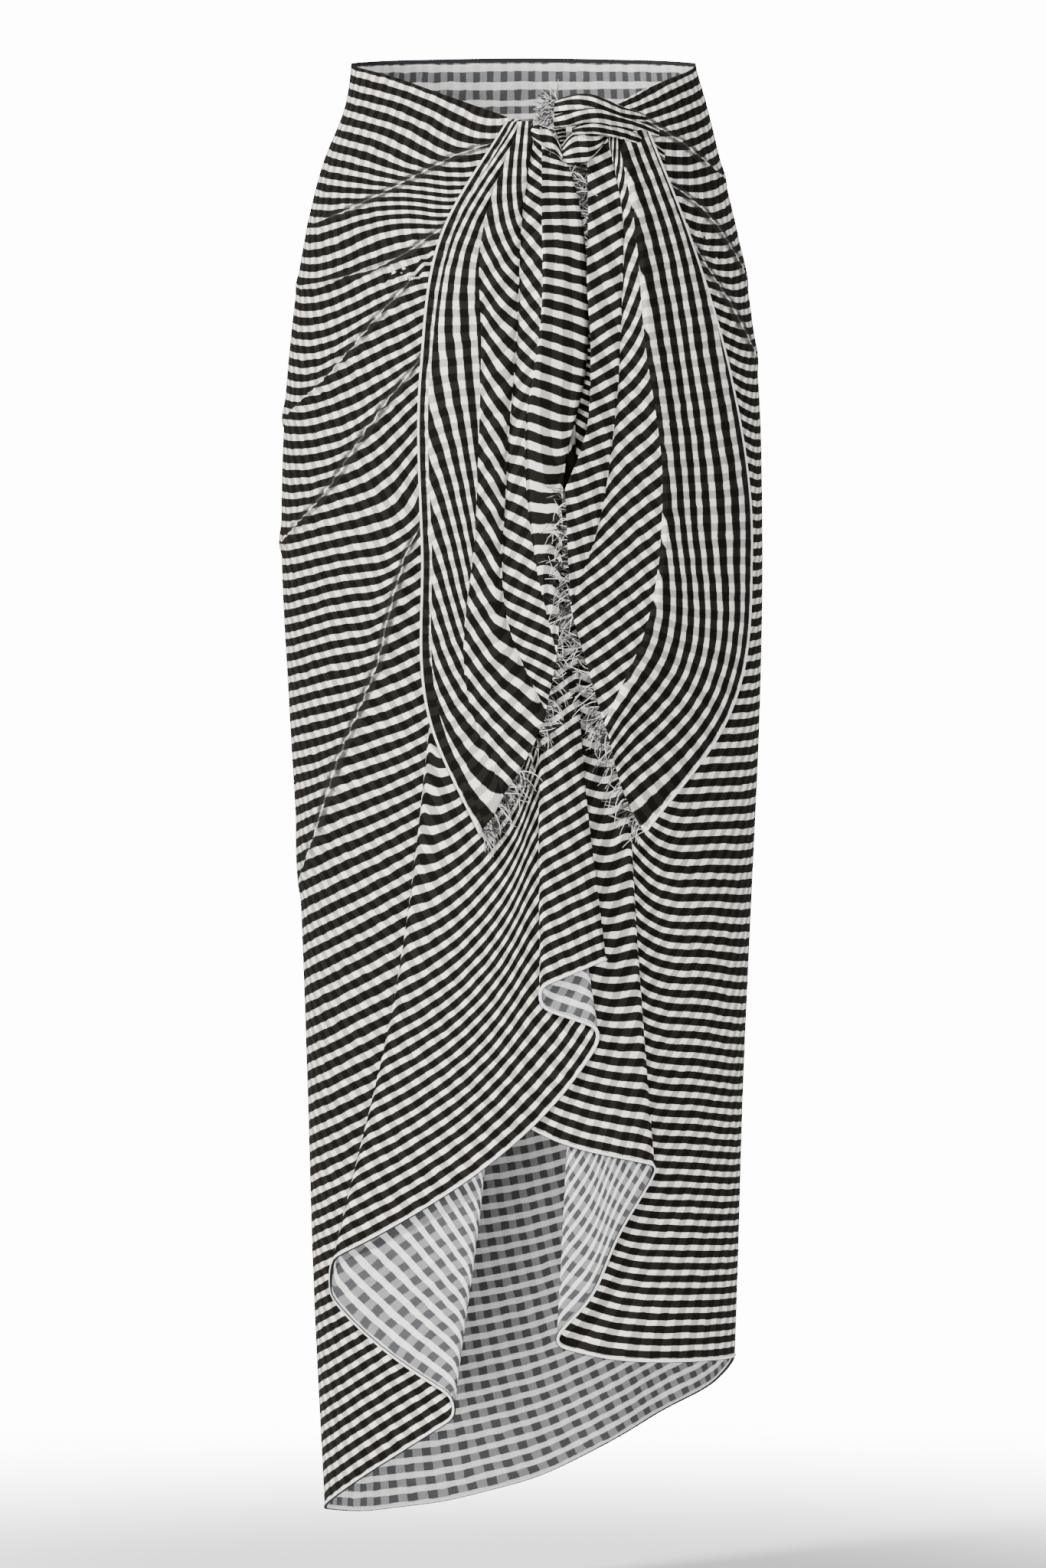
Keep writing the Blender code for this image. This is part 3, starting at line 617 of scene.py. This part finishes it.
def stripe_way(points, counts):
    """The way that the stripes run at every point: on the sheet, and square to where the count rises."""
    across = np.gradient(points, axis=1)
    down = np.gradient(points, axis=0)
    count_across = np.gradient(counts, axis=1)
    count_down = np.gradient(counts, axis=0)
    aa = (across * across).sum(-1)
    ab = (across * down).sum(-1)
    bb = (down * down).sum(-1)
    area = np.maximum(aa * bb - ab * ab, 1e-6)
    rise = ((bb * count_across - ab * count_down) / area)[..., None] * across
    rise = rise + ((aa * count_down - ab * count_across) / area)[..., None] * down
    return unit(np.cross(unit(np.cross(across, down)), unit(rise)))


def along_stripes(points, counts):
    """Millimetres along the stripes at every point, so that the cross bands lie square to them.

    Neighbours should differ by their distance along the stripes. They can't everywhere, so the best
    fit is found, by conjugate gradients.
    """
    way = stripe_way(points, counts)
    want_across = ((way[:, 1:] + way[:, :-1]) / 2 * np.diff(points, axis=1)).sum(-1)
    want_down = ((way[1:] + way[:-1]) / 2 * np.diff(points, axis=0)).sum(-1)
    long_across = np.linalg.norm(np.diff(points, axis=1), axis=-1) + STEP_LEAST
    long_down = np.linalg.norm(np.diff(points, axis=0), axis=-1) + STEP_LEAST
    weight_across = np.mean(long_down) / long_across
    weight_down = np.mean(long_across) / long_down

    def spread(run_across, run_down):
        total = np.zeros(counts.shape)
        total[:, 1:] += run_across
        total[:, :-1] -= run_across
        total[1:] += run_down
        total[:-1] -= run_down
        return total

    def apply(values):
        return spread(weight_across * np.diff(values, axis=1), weight_down * np.diff(values, axis=0))

    found = np.zeros(counts.shape)
    left = spread(weight_across * want_across, weight_down * want_down)
    step = left.copy()
    size = (left * left).sum()
    for _ in range(SETTLE_ROUNDS):
        pushed = apply(step)
        rate = size / max((step * pushed).sum(), 1e-12)
        found += rate * step
        left -= rate * pushed
        fresh = (left * left).sum()
        if fresh < SETTLED:
            break
        step = left + fresh / size * step
        size = fresh
    return found


class Field:
    """A number that changes over a surface. Sums on it add Math nodes."""

    def __init__(self, finish, socket):
        self.finish = finish
        self.socket = socket

    def sum(self, operation, first, second):
        return self.finish.node("Math", {"operation": operation}, {0: first, 1: second})

    def __add__(self, other):
        return self.sum("ADD", self, other)

    def __radd__(self, other):
        return self.sum("ADD", other, self)

    def __sub__(self, other):
        return self.sum("SUBTRACT", self, other)

    def __rsub__(self, other):
        return self.sum("SUBTRACT", other, self)

    def __mul__(self, other):
        return self.sum("MULTIPLY", self, other)

    def __rmul__(self, other):
        return self.sum("MULTIPLY", other, self)

    def wave(self):
        """Nought at whole numbers and a half midway between them."""
        return self.sum("PINGPONG", self, 0.5)


class Finish:
    """One material and the nodes that make it."""

    def __init__(self, name, sheen=0.01):
        self.material = bpy.data.materials.new(name)
        self.material.use_nodes = True
        self.tree = self.material.node_tree
        self.shader = self.tree.nodes["Principled BSDF"]
        self.shader.inputs["Roughness"].default_value = 0.85
        self.shader.inputs["Sheen Weight"].default_value = sheen
        self.shader.inputs["Sheen Roughness"].default_value = 0.5
        self.shader.inputs["Specular IOR Level"].default_value = 0.03

    def node(self, kind, settings, inputs, output=0):
        """Adds a node, sets and links its inputs, and gives the named output."""
        made = self.tree.nodes.new("ShaderNode" + kind)
        for name, value in settings.items():
            setattr(made, name, value)
        for name, value in inputs.items():
            if isinstance(value, Field):
                self.tree.links.new(value.socket, made.inputs[name])
            else:
                made.inputs[name].default_value = value
        return Field(self, made.outputs[output])

    def uv(self, name):
        """The two numbers of one of the piece's UV maps."""
        place = self.node("UVMap", {"uv_map": name}, {})
        first = self.node("SeparateXYZ", {}, {0: place})
        return first, Field(self, first.socket.node.outputs[1])

    def spot(self):
        """The place on the piece, in metres."""
        return self.node("TexCoord", {}, {}, "Object")

    def feed(self, name, value):
        """Links a value to one of the shader's inputs."""
        self.tree.links.new(value.socket, self.shader.inputs[name])

    def step(self, value, low, high):
        """Nought below low, one above high, and a soft edge between them."""
        inputs = {"Value": value, "From Min": low, "From Max": high}
        return self.node("MapRange", {"interpolation_type": "SMOOTHSTEP"}, inputs)

    def mix(self, share, first, second):
        """The first colour, or the second where the share is one."""
        inputs = {"Factor": share, "A": first, "B": second}
        made = self.tree.nodes.new("ShaderNodeMix")
        made.data_type = "RGBA"
        for name, value in inputs.items():
            socket = [item for item in made.inputs if item.name == name and item.enabled][0]
            if isinstance(value, Field):
                self.tree.links.new(value.socket, socket)
            else:
                socket.default_value = value
        return Field(self, [item for item in made.outputs if item.enabled][0])

    def noise(self, place, scale, detail=2.0, roughness=0.5):
        """Noise from nought to one, finer at a greater scale."""
        inputs = {"Vector": place, "Scale": scale, "Detail": detail, "Roughness": roughness}
        return self.node("TexNoise", {}, inputs)

    def bump(self, height, strength, distance):
        """A relief so many metres deep, from heights between nought and one."""
        inputs = {"Height": height, "Strength": strength, "Distance": distance}
        return self.node("Bump", {}, inputs)


def grey(value, warm=0.0):
    """A grey of that brightness, a little warm, or cool below nought."""
    return (value * (1 + warm), value, value * (1 - 1.6 * warm), 1)


def cloth_finish(name, inner=False):
    """The striped cotton: black and white stripes, weaker cross bands and a fine crinkle, with painted shade
    in the crinkle and painted light and shade along the pulled folds.
    """
    finish = Finish(name)
    along, count = finish.uv("weave")
    off, hidden = finish.uv("folds")
    spot = finish.spot()
    wobble = finish.noise(spot, 95.0, 3.0) - 0.5
    fine = finish.noise(spot, 420.0, 3.0, 0.6)
    mottle = finish.noise(spot, 60.0, 3.0, 0.6)
    side = finish.node("Math", {"operation": "SIGN"}, {0: off})
    stripe = (count + side * hidden + wobble * STRIPE_WOBBLE).wave()
    band = (along * (1 / CROSS) + wobble * CROSS_WOBBLE).wave()
    dark = 1 - finish.step(stripe, *STRIPE_EDGE)
    cross = 1 - finish.step(band, *CROSS_EDGE)
    look = INNER_LOOK if inner else OUTER_LOOK
    pale = finish.mix(cross, grey(*look.white), grey(*look.white_cross))
    deep = finish.mix(cross, grey(*look.black), grey(*look.black_cross))
    cloth = finish.mix(dark, pale, deep)
    # Painted shade of the crinkle: the noise of its relief darkens the colour to 0.8 where the relief dips.
    shade = finish.step(mottle * 0.7 + fine * 0.3, 0.3, 0.7)
    crinkle_shade = finish.mix(shade, grey(0.80), grey(1.0))
    tint = finish.node("VectorMath", {"operation": "MULTIPLY"}, {0: cloth, 1: crinkle_shade})
    if inner:
        tint = finish.mix(finish.step(count, *TOP_STRIPE), tint, grey(0.015, -0.08))
    # Painted light and shade along the nearest pulled fold: the ridge line draws the colour 12% toward mid
    # grey, and the groove beside it is painted 85% toward black as shade.
    far = finish.node("Math", {"operation": "ABSOLUTE"}, {0: off + (mottle - 0.5) * 1.5})
    strong = finish.step(hidden, 0.04, 0.4)
    ridge = (1 - finish.step(far, *RIDGE_LIGHT_EDGE)) * strong
    groove_shade = (finish.step(far, *GROOVE_SHADE_START) - finish.step(far, *GROOVE_SHADE_END)) * strong
    lit = finish.mix(ridge * 0.12, tint, grey(0.3, 0.03))
    finish.feed("Base Color", finish.mix(groove_shade * 0.85, lit, grey(0.012, 0.05)))
    relief = fine * 0.3 + mottle * 0.7 + ridge * 0.8 - groove_shade * 0.8
    finish.feed("Normal", finish.bump(relief, 0.5, 0.0016))
    return finish.material


def hem_finish():
    """The narrow rolled hem: white, with a dark painted shadow line along one side."""
    finish = Finish("rolled hem")
    turn, _ = finish.uv("weave")
    fine = finish.noise(finish.spot(), 500.0, 3.0, 0.6)
    # Painted shadow: a dark band round one side of the roll, standing in for the shadow beside the hem.
    edge = finish.step(turn, 0.06, 0.14) * (1 - finish.step(turn, 0.40, 0.48))
    white = finish.mix(fine, grey(0.5, 0.02), grey(0.85, 0.02))
    finish.feed("Base Color", finish.mix(edge, white, grey(0.012, -0.08)))
    finish.feed("Normal", finish.bump(fine, 0.5, 0.0008))
    return finish.material


def thread_finish():
    """Each loose thread has its own tone, white, grey or black, and its ends are paler."""
    finish = Finish("loose threads", 0.05)
    tone, out = finish.uv("weave")
    patch = finish.noise(finish.spot(), 300.0, 2.0, 0.6)
    pale = finish.step(tone + out * 0.2 + (patch - 0.5) * 0.5, 0.5, 1.0)
    finish.feed("Base Color", finish.mix(pale, grey(0.025), grey(0.62, 0.01)))
    return finish.material


def grid_mesh(points, uv_zones=None, strip=0, folds=None):
    """A grid of faces through rows of points in millimetres, with its two UV maps if zones are given.

    A zone is its first and last column and the weave map's two numbers at its points. folds has the
    fold map's. With a strip, the grid falls apart into strips of so many columns of points.
    """
    rows, columns = points.shape[:2]
    bm = bmesh.new()
    bmesh.ops.create_grid(bm, x_segments=columns - 1, y_segments=rows - 1, size=1)
    spots = {}
    for vertex in bm.verts:
        column = round((vertex.co.x + 1) / 2 * (columns - 1))
        row = round((vertex.co.y + 1) / 2 * (rows - 1))
        spots[vertex] = (row, column)
        vertex.co = points[row, column] * MM
    if strip:
        between = [face for face in bm.faces if min(spots[v][1] for v in face.verts) % strip == strip - 1]
        bmesh.ops.delete(bm, geom=between, context="FACES")
    if uv_zones:
        layer = bm.loops.layers.uv.new("weave")
        lines = bm.loops.layers.uv.new("folds")
        for face in bm.faces:
            corner = min(spots[loop.vert][1] for loop in face.loops)
            zone = [item for item in uv_zones if item[0] <= corner < item[1]][0]
            for loop in face.loops:
                row, column = spots[loop.vert]
                at = column - zone[0]
                loop[layer].uv = (zone[2][row, at], zone[3][row, at])
                loop[lines].uv = (NO_FOLD, 0) if folds is None else folds[row, column]
    return bm


def face_outwards(bm):
    """Turns the grid's faces away from the upright axis, by the face that lies farthest out."""
    outer = max(bm.faces, key=lambda face: face.calc_center_median().xy.length)
    centre = outer.calc_center_median()
    outer.normal_update()
    if outer.normal.x * centre.x + outer.normal.y * centre.y < 0:
        bmesh.ops.reverse_faces(bm, faces=bm.faces)


def add_piece(name, bm, materials, node=None):
    """A piece of the object from its mesh, on the one body, in place of its CAD node if it has one."""
    mesh = bpy.data.meshes.new(name)
    bm.to_mesh(mesh)
    bm.free()
    mesh.shade_smooth()
    for material in materials:
        mesh.materials.append(material)
    obj = bpy.data.objects.new(name, mesh)
    bpy.context.scene.collection.objects.link(obj)
    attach(obj, "root")
    if node:
        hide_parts(node)
    return obj


def add_cloth(name, node, sheet_points, zones, folds, finishes):
    """A sheet with its weave and its wall, whose two faces have their own looks."""
    maps = []
    for start, end, counts in zones:
        along = along_stripes(sheet_points[:, start : end + 1], counts)
        maps.append((start, end, along, counts))
    bm = grid_mesh(sheet_points, maps, folds=folds)
    face_outwards(bm)
    obj = add_piece(name, bm, finishes, node)
    wall = obj.modifiers.new("wall", "SOLIDIFY")
    wall.thickness = WALL * MM
    wall.offset = 0
    wall.use_even_offset = False
    wall.material_offset = 1
    return obj


def back_sheet():
    """The back's points, stripe zone and fold map, in rows from the waist down and from left to right."""
    share = np.linspace(0, 1, BACK_ROWS + 1)[:, None]
    turn = np.linspace(0, 1, BACK_COLUMNS + 1)[None, :]
    start = SIDE_ANGLE + SEAM_ANGLE
    angle = -start - turn * (2 * math.pi - 2 * start) + 0 * share
    top = smooth_read(HEM_TURNS, BACK_TOP, turn)
    hem = smooth_read(HEM_TURNS, BACK_HEM, turn)
    wave = np.sin(turn * math.pi * FLUTES * 2) * np.sin(turn * math.pi)
    lift = FLUTE_DEPTH * wave * ease(share)
    form = np.stack([angle, top + (hem - top) * share, lift], axis=-1)
    round_back = np.where(angle < -math.pi, angle + 2 * math.pi, angle)
    left = smooth_read(PANEL_STATIONS, BACK_STRIPES[0], share)
    right = smooth_read(PANEL_STATIONS, BACK_STRIPES[1], share)
    counts = left + (right - left) * turn
    below = np.clip(share / WAIST_SHARE, 0, 1)
    beyond = np.clip((share - WAIST_SHARE) / (PANEL_STATIONS[1] - WAIST_SHARE), 0, 1)
    counts += WAIST_STRIPES * below * (1 - beyond) * np.sin(turn * math.pi) ** 0.5
    lines = FoldLines(form)
    form[..., 0] = round_back
    for fold in LEFT_PULLS + RIGHT_PULLS:
        pull_form(form, fold, lines)
    counts += lines.counts()
    return cloth_point(form[..., 0], form[..., 1], form[..., 2]), [(0, BACK_COLUMNS, counts)], lines.map()


def ring_path(path, radius, sides):
    """Rings of points round a path of points."""
    way = unit(np.gradient(path, axis=0))
    out = unit(path * (1, 1, 0))
    side = unit(np.cross(way, out))
    up = np.cross(side, way)
    turn = np.arange(sides + 1) / sides * 2 * math.pi
    round_it = np.cos(turn)[None, :, None] * up[:, None] + np.sin(turn)[None, :, None] * side[:, None]
    return path[:, None] + round_it * radius


def close_tube(bm):
    """Joins a tube's seam and closes its two ends."""
    bmesh.ops.remove_doubles(bm, verts=bm.verts, dist=1e-7)
    bmesh.ops.holes_fill(bm, edges=[edge for edge in bm.edges if edge.is_boundary], sides=0)
    bmesh.ops.recalc_face_normals(bm, faces=bm.faces)


def add_hem(name, path, finish, shadow_side=1):
    """A rolled hem along a path of points. The side that its painted shadow line is on swaps with the sign.
    """
    rings = ring_path(path, HEM_ROLL, HEM_SIDES)
    turn = np.linspace(0, 1, HEM_SIDES + 1)[::shadow_side] + np.zeros((len(path), 1))
    bm = grid_mesh(rings, [(0, HEM_SIDES, turn, 0 * turn)])
    close_tube(bm)
    obj = add_piece(name, bm, [finish])
    return obj


def roll_mesh(roll, sides):
    """One gathered roll of cloth along its stations, closed at both ends."""
    table = np.array(roll.stations, float)
    fine = smooth_read(np.linspace(0, 1, len(table)), table, np.linspace(0, 1, BUNDLE_RINGS))
    turn = np.arange(sides + 1) / sides * 2 * math.pi
    rings = []

    # Besides the pleats, two weaker swells wind along the roll, so that no two of its rings are alike.
    for ring, (x, z, lift, half_height, half_depth) in enumerate(fine):
        part = ring / (len(fine) - 1)
        swell = 1 + PLEAT_SWELL * np.cos(roll.pleats * 2 * turn + 1.5 * math.sin(4 * part))
        swell = swell + 0.05 * np.cos(3 * turn + 7 * part)
        swell = swell + 0.04 * np.cos((roll.pleats + 2) * turn - 5 * part)
        up = z + half_height * np.sin(turn) * swell
        out = lift + half_depth * np.cos(turn) * swell
        angle, true_z = as_seen(np.full(sides + 1, x), up, out)
        rings.append(cloth_point(angle, true_z, out))
    points = np.array(rings)
    part = np.linspace(0, 1, len(points))[:, None]
    counts = turn / (2 * math.pi) * roll.stripes + 0.35 * np.sin(5 * part + roll.stations[0].z)
    length = np.linalg.norm(np.diff(points.mean(axis=1), axis=0), axis=-1)
    along = np.concatenate([[0], np.cumsum(length)])[:, None] + 2 * np.sin(turn) + 0 * counts
    bm = grid_mesh(points, [(0, sides, along, counts)])
    close_tube(bm)
    return bm


def add_bundle(name, node, rolls, sides, finishes):
    """The gathered rolls that lie side by side in one band of the knot."""
    whole = bmesh.new()
    for roll in rolls:
        part = bpy.data.meshes.new("roll")
        bm = roll_mesh(roll, sides)
        bm.to_mesh(part)
        bm.free()
        whole.from_mesh(part)
        bpy.data.meshes.remove(part)
    return add_piece(name, whole, finishes, node)


def add_threads(name, node, edge, inner, fringe, finish):
    """Fine loose threads along a cut edge, each a slim strand that wanders, away from the inner points."""
    rng = np.random.default_rng(SEED + len(name))
    outward = outward_of(edge, inner)
    count = fringe.threads
    corners = THREAD_SIDES + 1
    place = np.sort(rng.uniform(0, len(edge) - 1, count))
    low = np.clip(np.floor(place).astype(int), 0, len(edge) - 2)
    part = (place - low)[:, None]
    root = edge[low] * (1 - part) + edge[low + 1] * part
    way = unit(outward[low] * (1 - part) + outward[low + 1] * part)
    along = unit(edge[low + 1] - edge[low])
    off = np.cross(along, way)
    lean = rng.normal(0, fringe.spread, (count, 1))
    lift = rng.normal(*THREAD_LIFT, (count, 1))
    bend = rng.normal(0, THREAD_BEND, (count, 1))
    drop = rng.uniform(*THREAD_DROP, (count, 1))
    long = fringe.length * rng.uniform(*THREAD_SHARES, (count, 1))
    stages = np.linspace(0, 1, THREAD_POINTS)
    path = []
    for stage in stages:
        aim = way + along * (lean + bend * stage) + off * lift
        aim[:, 2] -= (drop * stage)[:, 0]
        path.append(root + unit(aim) * long * stage)
    path = np.stack(path)
    side = unit(np.cross(path[-1] - path[0], off))
    turn = np.arange(corners) / THREAD_SIDES * 2 * math.pi
    thin = fringe.thick * (1 - THREAD_TAPER * stages)[:, None, None, None]
    ring = np.cos(turn)[:, None] * off[:, None] + np.sin(turn)[:, None] * side[:, None]
    points = path[:, :, None] + ring[None] * thin
    tone = np.repeat(rng.uniform(0, 1, count), corners)[None] + 0 * stages[:, None]
    zone = (0, count * corners - 1, tone, stages[:, None] + 0 * tone)
    bm = grid_mesh(points.reshape(THREAD_POINTS, count * corners, 3), [zone], strip=corners)
    bmesh.ops.remove_doubles(bm, verts=bm.verts, dist=1e-8)
    bmesh.ops.recalc_face_normals(bm, faces=bm.faces)
    return add_piece(name, bm, [finish], node)


def outward_of(edge, inner):
    """Which way the cloth's edge faces, square to it, from points on the edge and farther in."""
    along = unit(np.gradient(edge, axis=0))
    outward = edge - inner
    outward = outward - along * (along * outward).sum(axis=1)[:, None]
    return unit(outward)


def band_end():
    """Points on the frayed end of the knot's band, and points a little farther in."""
    x, z, lift = np.array(BAND_EDGE, float).T
    spots = np.linspace(0, 1, BAND_EDGE_SPOTS)
    knots = np.linspace(0, 1, len(x))
    x, z, lift = (smooth_read(knots, value, spots) for value in (x, z, lift))
    angle, true_z = as_seen(x, z, lift)
    end = cloth_point(angle, true_z, lift)
    angle, true_z = as_seen(x + BAND_EDGE_INSIDE, z, lift)
    return end, cloth_point(angle, true_z, lift)


def make_camera():
    """A long lens straight in front, at half the cloth's height."""
    lens = bpy.data.cameras.new("view")
    lens.sensor_width = SENSOR
    lens.lens = SENSOR * EYE_DISTANCE / VIEW_HEIGHT
    camera = bpy.data.objects.new("view", lens)
    camera.location = (EYE_ACROSS * MM, -EYE_DISTANCE * MM, EYE_HEIGHT * MM)
    camera.rotation_euler = (math.pi / 2, 0, 0)
    bpy.context.scene.collection.objects.link(camera)
    bpy.context.scene.camera = camera


def add_lamp(lamp):
    """A round soft light that points at the cloth's upper half."""
    light = bpy.data.lights.new(lamp.name, "AREA")
    light.shape = "DISK"
    light.size = lamp.size
    light.energy = lamp.watts
    light.color = lamp.tone
    obj = bpy.data.objects.new(lamp.name, light)
    bpy.context.scene.collection.objects.link(obj)
    obj.location = lamp.place
    aim = Vector(LAMP_AIM) - obj.location
    obj.rotation_euler = aim.to_track_quat("-Z", "Y").to_euler()


def make_sky():
    """A soft white sky, which the camera sees as a plain bright backdrop."""
    world = bpy.data.worlds.new("studio")
    bpy.context.scene.world = world
    world.use_nodes = True
    tree = world.node_tree
    sky = tree.nodes["Background"]
    backdrop = tree.nodes.new("ShaderNodeBackground")
    for background, strength in ((sky, SKY), (backdrop, BACKDROP)):
        background.inputs["Color"].default_value = (1, 1, 1, 1)
        background.inputs["Strength"].default_value = strength
    seen = tree.nodes.new("ShaderNodeLightPath")
    choose = tree.nodes.new("ShaderNodeMixShader")
    tree.links.new(seen.outputs["Is Camera Ray"], choose.inputs[0])
    tree.links.new(sky.outputs[0], choose.inputs[1])
    tree.links.new(backdrop.outputs[0], choose.inputs[2])
    tree.links.new(choose.outputs[0], tree.nodes["World Output"].inputs["Surface"])


def add_floor():
    """A pale round floor that fades out toward its edge."""
    bm = bmesh.new()
    bmesh.ops.create_circle(bm, cap_ends=True, segments=FLOOR_SIDES, radius=FLOOR_RADIUS)
    bmesh.ops.translate(bm, verts=bm.verts, vec=(0, 0, FLOOR_HEIGHT))
    mesh = bpy.data.meshes.new("floor")
    bm.to_mesh(mesh)
    bm.free()
    floor = bpy.data.objects.new("floor", mesh)
    finish = Finish("pale floor", 0.0)
    away = finish.node("VectorMath", {"operation": "LENGTH"}, {0: finish.spot()}, "Value")
    finish.shader.inputs["Base Color"].default_value = grey(FLOOR_TONE)
    finish.feed("Alpha", 1 - finish.step(away, *FLOOR_FADE))
    mesh.materials.append(finish.material)
    bpy.context.scene.collection.objects.link(floor)


def make_studio():
    """The camera, the backdrop, the lights and the floor."""
    make_camera()
    make_sky()
    for lamp in LAMPS:
        add_lamp(lamp)
    add_floor()


def main():
    """The studio, then the cloth's sheets, the knot, the hems and the fringes."""
    make_studio()
    outer = cloth_finish("striped cotton, outer face")
    inner = cloth_finish("striped cotton, inner face", inner=True)
    faces = [outer, inner]
    white = hem_finish()
    loose = thread_finish()

    over = Sheet(OVER_LINES, PANEL_STATIONS, -SIDE_ANGLE, OVER_ROWS, *OVER_STEPS)
    over.climb(CLIMB_STRIPES)
    over.pull(LEFT_PULLS)
    under = Sheet(UNDER_LINES, PANEL_STATIONS, SIDE_ANGLE, UNDER_ROWS, *UNDER_STEPS)
    under.pull(RIGHT_PULLS)
    left = Sheet(LEFT_TAIL_LINES, TAIL_STATIONS, 0, TAIL_ROWS, *TAIL_STEPS)
    right = Sheet(RIGHT_TAIL_LINES, TAIL_STATIONS, 0, TAIL_ROWS, *TAIL_STEPS)
    back = back_sheet()
    panel_over = add_cloth("panel_over", "front_over", *over.cloth(), faces)
    panel_under = add_cloth("panel_under", "front_under", *under.cloth(), faces)
    panel_back = add_cloth("panel_back", "wrap_back", *back, faces)
    tail_left = add_cloth("tail_left_cloth", "tail_left", *left.cloth(), faces)
    tail_right = add_cloth("tail_right_cloth", "tail_right", *right.cloth(), faces)
    add_bundle("knot_band_cloth", "knot_band", BAND, BAND_SIDES, faces)
    add_bundle("knot_lobe_cloth", "knot_lobe", LOBE, LOBE_SIDES, faces)

    left_points = left.points()
    right_points = right.points()
    over_hem = add_hem("hem_over", over.points()[-1], white)
    under_hem = add_hem("hem_under", under.points()[-1], white, -1)
    back_hem = add_hem("hem_back", back[0][-1], white, -1)
    left_hem = add_hem("hem_tail_left", left_points[:, 0], white)
    right_hem = add_hem("hem_tail_right", right_points[:, -1], white, -1)

    end, inside = left_points[-1], left_points[FRAY_BACK]
    threads_left = add_threads("threads_left", "fringe_left", end, inside, LEFT_FRINGE, loose)
    end, inside = left_points[UPPER_ROWS, -1], left_points[UPPER_ROWS, FRAY_BACK]
    threads_upper = add_threads("threads_upper", "fringe_upper", end, inside, UPPER_FRINGE, loose)
    end, inside = right_points[-1], right_points[FRAY_BACK]
    threads_right = add_threads("threads_right", "fringe_right", end, inside, RIGHT_FRINGE, loose)
    end, inside = band_end()
    add_threads("threads_band", "fringe_band", end, inside, BAND_FRINGE, loose)


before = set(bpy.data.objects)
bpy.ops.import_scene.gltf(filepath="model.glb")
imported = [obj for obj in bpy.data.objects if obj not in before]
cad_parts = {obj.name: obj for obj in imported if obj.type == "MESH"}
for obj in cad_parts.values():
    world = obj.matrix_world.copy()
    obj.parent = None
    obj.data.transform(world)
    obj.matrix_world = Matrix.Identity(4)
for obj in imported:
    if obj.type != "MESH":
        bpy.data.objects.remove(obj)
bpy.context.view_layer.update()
main()
